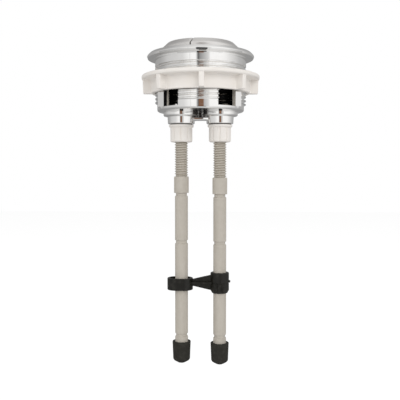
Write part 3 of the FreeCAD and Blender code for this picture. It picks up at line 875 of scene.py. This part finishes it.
def makeTip(name, x, drop, body, node):
    t = tip
    path = rounded([(0, t["end"], 0), (t["flatRadius"], t["end"], 0.5), (t["footRadius"], t["foot"], 1.9),
                    (t["rimRadius"], t["rim"], 0.35), (t["bore"], t["rim"], 0.3), (t["bore"], rod["end"], 0),
                    (0, rod["end"], 0)], 8)
    piece = turnedPiece(name, [(r, z - drop) for r, z in path], 96, x)
    return dress(piece, rubber, body, [node], 35)


makeTip("halfRodTip", halfX, 0, "half_rod", "half_rod_tip")
makeTip("fullRodTip", fullX, fullDrop, "full_rod", "full_rod_tip")
print("rubber tips made")


clip = {"left": -21.6, "right": -5.0, "wall": 1.5, "innerHalf": 4.5, "loopTop": -140.3, "loopBottom": -148.0,
        "sleeveRadius": 6.0, "sleeveTop": -136.6, "sleeveBottom": -149.9, "grip": 4.21, "level": -143.3,
        "armThickness": 2.4, "neckHeight": 4.1, "rootHeight": 10.1, "ribWidth": 6.0, "ribHeight": 1.2,
        "taper": 1.0, "taperHeight": 1.8, "barLeft": -16.2, "barRight": -10.6, "barHeight": 1.0,
        "nubLength": 0.9, "nubHeight": 1.4, "nubLevel": -142.5, "cutLow": -152.0, "cutHigh": -134.0}


def stadiumRing(low, high, half, z, count=28):
    # One level of an upright slab with two round ends
    left, right = low + half, high - half
    ring = [(right + half * math.cos(a), half * math.sin(a), z) for a in steps(-math.pi / 2, math.pi / 2, count)]
    return ring + [(left + half * math.cos(a), half * math.sin(a), z)
                   for a in steps(math.pi / 2, 3 * math.pi / 2, count)]


def slab(name, corners, depth, rounding=0.35, y=0.0):
    # A plate cut from an XZ outline, centred on this y, with softened edges
    half = depth / 2
    edge = rounded(corners, 4)
    middle = Vector((sum(a for a, b in edge) / len(edge), sum(b for a, b in edge) / len(edge)))
    rings = []
    for away, inset in ((-half, rounding), (-half + rounding * 0.3, rounding * 0.3), (-half + rounding, 0),
                        (half - rounding, 0), (half - rounding * 0.3, rounding * 0.3), (half, rounding)):
        ring = []
        for corner in edge:
            reach = Vector(corner) - middle
            spot = middle + reach * (1 - inset / reach.length)
            ring.append((spot.x, y + away, spot.y))
        rings.append(ring)
    return capped(name, rings)


def makeClip():
    c = clip
    outer = c["innerHalf"] + c["wall"]
    middle = (c["loopTop"] + c["loopBottom"]) / 2
    level, sleeveRadius = c["level"], c["sleeveRadius"]
    section = rounded([(0.0, c["loopTop"], 0.45), (0.0, c["loopBottom"], 0.45), (c["wall"], c["loopBottom"], 0.3),
                       (c["wall"], c["loopTop"], 0.3)], 4)
    rings = [stadiumRing(c["left"] + inset, c["right"] - inset, outer - inset, z) for inset, z in section]
    piece = meshPiece("rodClip", *loftFaces(rings, True))
    neckX, rootX = c["right"] - c["wall"] / 2, fullX - 5.1

    def armPlate(neckHeight, rootHeight):
        return [(neckX, level + neckHeight / 2, 0), (rootX, level + rootHeight / 2, 0),
                (rootX, level - rootHeight / 2, 0), (neckX, level - neckHeight / 2, 0)]

    def plate(low, high, bottom, top, rounding):
        return [(low, top, rounding), (high, top, rounding), (high, bottom, rounding), (low, bottom, rounding)]

    combine(piece, slab("arm", armPlate(c["neckHeight"], c["rootHeight"]), c["armThickness"]), "UNION")
    combine(piece, slab("rib", armPlate(c["ribHeight"], c["ribHeight"]), c["ribWidth"], 0.25), "UNION")
    bar = plate(c["barLeft"], c["barRight"], middle - c["barHeight"] / 2, middle + c["barHeight"] / 2, 0.3)
    combine(piece, slab("bar", bar, 2 * outer + 0.5, 0.2), "UNION")
    hole = [stadiumRing(c["left"] + c["wall"], c["right"] - c["wall"], c["innerHalf"], z)
            for z in (c["cutLow"], c["cutHigh"])]
    combine(piece, capped("hole", hole), "DIFFERENCE")
    sleeve = rounded([(0, c["sleeveBottom"], 0), (sleeveRadius - c["taper"], c["sleeveBottom"], 0.3),
                      (sleeveRadius, c["sleeveBottom"] + c["taperHeight"], 0.4), (sleeveRadius, level - 0.35, 0.1),
                      (sleeveRadius - 0.22, level - 0.2, 0), (sleeveRadius - 0.22, level + 0.2, 0),
                      (sleeveRadius, level + 0.35, 0.1), (sleeveRadius, c["sleeveTop"], 0.6),
                      (0, c["sleeveTop"], 0)], 5)
    combine(piece, turnedPiece("sleeve", sleeve, 120, fullX), "UNION")
    for x in (fullX - 2.1, fullX + 2.1):  # two upright ribs on the lower half of the sleeve's front
        upright = plate(x - 0.55, x + 0.55, c["sleeveBottom"] + 0.6, level - 0.2, 0.2)
        combine(piece, slab("upright", upright, 2.4, 0.25, -5.3), "UNION")
    nubLow, nubHigh = c["nubLevel"] - c["nubHeight"] / 2, c["nubLevel"] + c["nubHeight"] / 2
    nub = plate(fullX + 4.8, fullX + sleeveRadius + c["nubLength"], nubLow, nubHigh, 0.4)
    combine(piece, slab("nub", nub, 2.0, 0.3), "UNION")
    combine(piece, pillar("bore", c["grip"], c["cutLow"], c["cutHigh"], 96, fullX), "DIFFERENCE")
    return dress(piece, clipBlack, "full_rod", ["rod_clip"], 30)


makeClip()
print("rod clip made")


spring = {"wire": 0.6, "radius": 9.2, "turns": 6.5, "low": -30.75, "high": -3.55}


def makeSpring(name, x, node):
    # Wire along an even helix from the bush's flange to the plunger's head
    s = spring
    count = round(s["turns"] * 40)
    low, high = s["low"] + s["wire"], s["high"] - s["wire"]
    rings = []
    for i in range(count + 1):
        turn = s["turns"] * i / count
        angle = 2 * math.pi * turn
        z = low + (high - low) * turn / s["turns"]
        outward = Vector((math.cos(angle), math.sin(angle), 0))
        along = Vector((-math.sin(angle), math.cos(angle), (high - low) / s["turns"] / (2 * math.pi * s["radius"])))
        upward = outward.cross(along.normalized())
        centre = Vector((x, 0, z)) + outward * s["radius"]
        rings.append([tuple(centre + (outward * math.cos(a) + upward * math.sin(a)) * s["wire"])
                      for a in evenAngles(14)])
    piece = dress(capped(name, rings), springWire, "barrel", [node])
    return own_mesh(piece)


makeSpring("halfReturnSpring", halfX, "half_return_spring")
makeSpring("fullReturnSpring", fullX, "full_return_spring")
for name in ("half_guide_bush", "full_guide_bush", "half_plunger", "full_plunger"):
    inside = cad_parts[name]
    inside.data.materials.clear()
    inside.data.materials.append(dullBlack)
print("springs, guides and plungers dressed")


# Levels of the room that mirrors see: degrees from the camera's side towards the right, and brightness
roomLevels = [(-180, 0.33), (-120, 0.40), (-90, 0.58), (-60, 0.67), (-45, 0.72), (-34, 0.86), (-27.6, 0.95),
              (-26.6, 0.74), (-25.4, 0.95), (-19, 1.0), (-12, 0.98), (-9.5, 0.62), (-7, 0.2), (-4.5, 0.10),
              (-2.6, 0.27), (4, 0.40), (12, 0.54), (20, 0.70), (24, 0.97), (50, 1.0), (66, 0.92), (82, 0.78),
              (96, 0.64), (112, 0.50), (135, 0.42), (180, 0.36)]
# The same without the bright and dark strips, for the floor and what is higher up
plainLevels = [(-180, 0.34), (-120, 0.38), (-90, 0.50), (-60, 0.62), (-30, 0.78), (-12, 0.85), (8, 0.80), (25, 1.0),
               (60, 0.95), (90, 0.60), (120, 0.45), (180, 0.36)]
studio = {"floorLevel": -226.0, "floorSize": 4000, "floorColour": 0.78, "floorGlow": 0.40, "floorMirror": 0.8,
          "darkFrom": 420, "darkTurns": (-10, -8.5, 13.5, 15), "doorway": (-6, -4, 6.5, 9.5), "lintel": (7.8, 9.2),
          "plainRise": (14, 30), "aboveRise": (45, 80), "skyLevel": 0.72, "aboveLeft": 0.64, "aboveRight": 0.84,
          "aim": 2.4, "brown": (0.215, 0.115, 0.070, 1), "dark": 0.02,
          "lamps": (("keyLamp", 11.0, (0.9, -1.6, 0.7)), ("fillLamp", 5.0, (-1.5, -1.2, 0.5)))}


def makeFloor():
    # Pale floor that turns white for the camera, below the lowest reach of the rods
    s = studio
    half = s["floorSize"] / 2
    z = s["floorLevel"]
    floor = meshPiece("floor", [(-half, -half, z), (half, -half, z), (half, half, z), (-half, half, z)], [(0, 1, 2, 3)])
    material = bpy.data.materials.new("paleFloor")
    material.use_nodes = True
    material.node_tree.nodes.clear()
    start = Wire(material.node_tree)
    seen = start.add("ShaderNodeLightPath", output="Is Camera Ray")
    mirrored = start.add("ShaderNodeLightPath", output="Is Glossy Ray")
    place = start.add("ShaderNodeTexCoord", output="Object")
    # What mirrors see of the floor is painted: it glows as a room, with levels round the object and a painted dark
    # patch far off toward the front
    turn = place.turn(s["aim"])
    reach = place.add("ShaderNodeVectorMath", {"operation": "LENGTH"}, {0: place}, "Value")
    far = reach.between(s["darkFrom"] * mm, (s["darkFrom"] + 120) * mm)
    shade = turn.within(*s["darkTurns"]) * far
    paper = start.add("ShaderNodeBsdfDiffuse", {}, {"Color": grey(s["floorColour"])})
    glow = start.add("ShaderNodeEmission", {}, {"Strength": seen * s["floorGlow"]})
    both = start.add("ShaderNodeAddShader", {}, {0: paper, 1: glow})
    pale = start.add("ShaderNodeEmission", {}, {"Color": turn.levels(plainLevels), "Strength": s["floorMirror"]})
    dim = start.add("ShaderNodeEmission", {}, {"Color": grey(s["dark"])})
    image = start.add("ShaderNodeMixShader", {}, {0: shade, 1: pale, 2: dim})
    surface = start.add("ShaderNodeMixShader", {}, {0: mirrored, 1: both, 2: image})
    start.add("ShaderNodeOutputMaterial", {}, {"Surface": surface})
    floor.data.materials.append(material)


def makeStudio():
    # The world is white behind the object, even for plain light, and a lit studio for mirrors
    s = studio
    world = bpy.data.worlds.new("studio")
    bpy.context.scene.world = world
    world.use_nodes = True
    world.node_tree.nodes.clear()
    start = Wire(world.node_tree)
    seen = start.add("ShaderNodeLightPath", output="Is Camera Ray")
    mirrored = start.add("ShaderNodeLightPath", output="Is Glossy Ray")
    way = start.add("ShaderNodeTexCoord", output="Generated")
    turn = way.turn(s["aim"])
    rise = way.math("ARCSINE", way.split("Z")) * (180 / math.pi)
    doorway = turn.within(*s["doorway"]) * (1 - rise.between(*s["lintel"]))
    walls = doorway.tint(turn.levels(roomLevels), s["brown"])
    above = s["aboveLeft"] + way.split("X").between(-0.6, 0.6) * (s["aboveRight"] - s["aboveLeft"])
    room = rise.between(*s["plainRise"]).tint(walls, turn.levels(plainLevels))
    room = rise.between(*s["aboveRise"]).tint(room, above)
    strength = seen * (1 - s["skyLevel"]) + s["skyLevel"]
    plain = start.add("ShaderNodeBackground", {}, {"Color": grey(1.0), "Strength": strength})
    shown = start.add("ShaderNodeBackground", {}, {"Color": room})
    both = start.add("ShaderNodeMixShader", {}, {0: mirrored, 1: plain, 2: shown})
    start.add("ShaderNodeOutputWorld", {}, {"Surface": both})
    for name, power, place in s["lamps"]:
        lamp = bpy.data.lights.new(name, "AREA")
        lamp.energy = power
        lamp.shape = "DISK"
        lamp.size = 1.4
        holder = bpy.data.objects.new(name, lamp)
        holder.location = place
        holder.rotation_euler = Vector(place).to_track_quat("Z", "Y").to_euler()
        holder.visible_glossy = False
        bpy.context.scene.collection.objects.link(holder)


view = {"lens": 55.8, "distance": 400.0, "height": -71.7, "azimuth": 2.4, "pitch": 2.59, "yaw": 0.055}


def makeCamera():
    v = view
    camera = bpy.data.cameras.new("camera")
    camera.lens = v["lens"]
    camera.sensor_width = 36
    camera.clip_start, camera.clip_end = 0.01, 20
    holder = bpy.data.objects.new("camera", camera)
    aside = math.radians(v["azimuth"])
    holder.location = (v["distance"] * mm * math.sin(aside), -v["distance"] * mm * math.cos(aside), v["height"] * mm)
    holder.rotation_euler = (math.radians(90 - v["pitch"]), 0, aside + math.radians(v["yaw"]))
    bpy.context.scene.collection.objects.link(holder)
    bpy.context.scene.camera = holder


makeFloor()
makeStudio()
makeCamera()
bpy.context.scene.view_settings.view_transform = "Standard"
print("floor, studio and camera set")
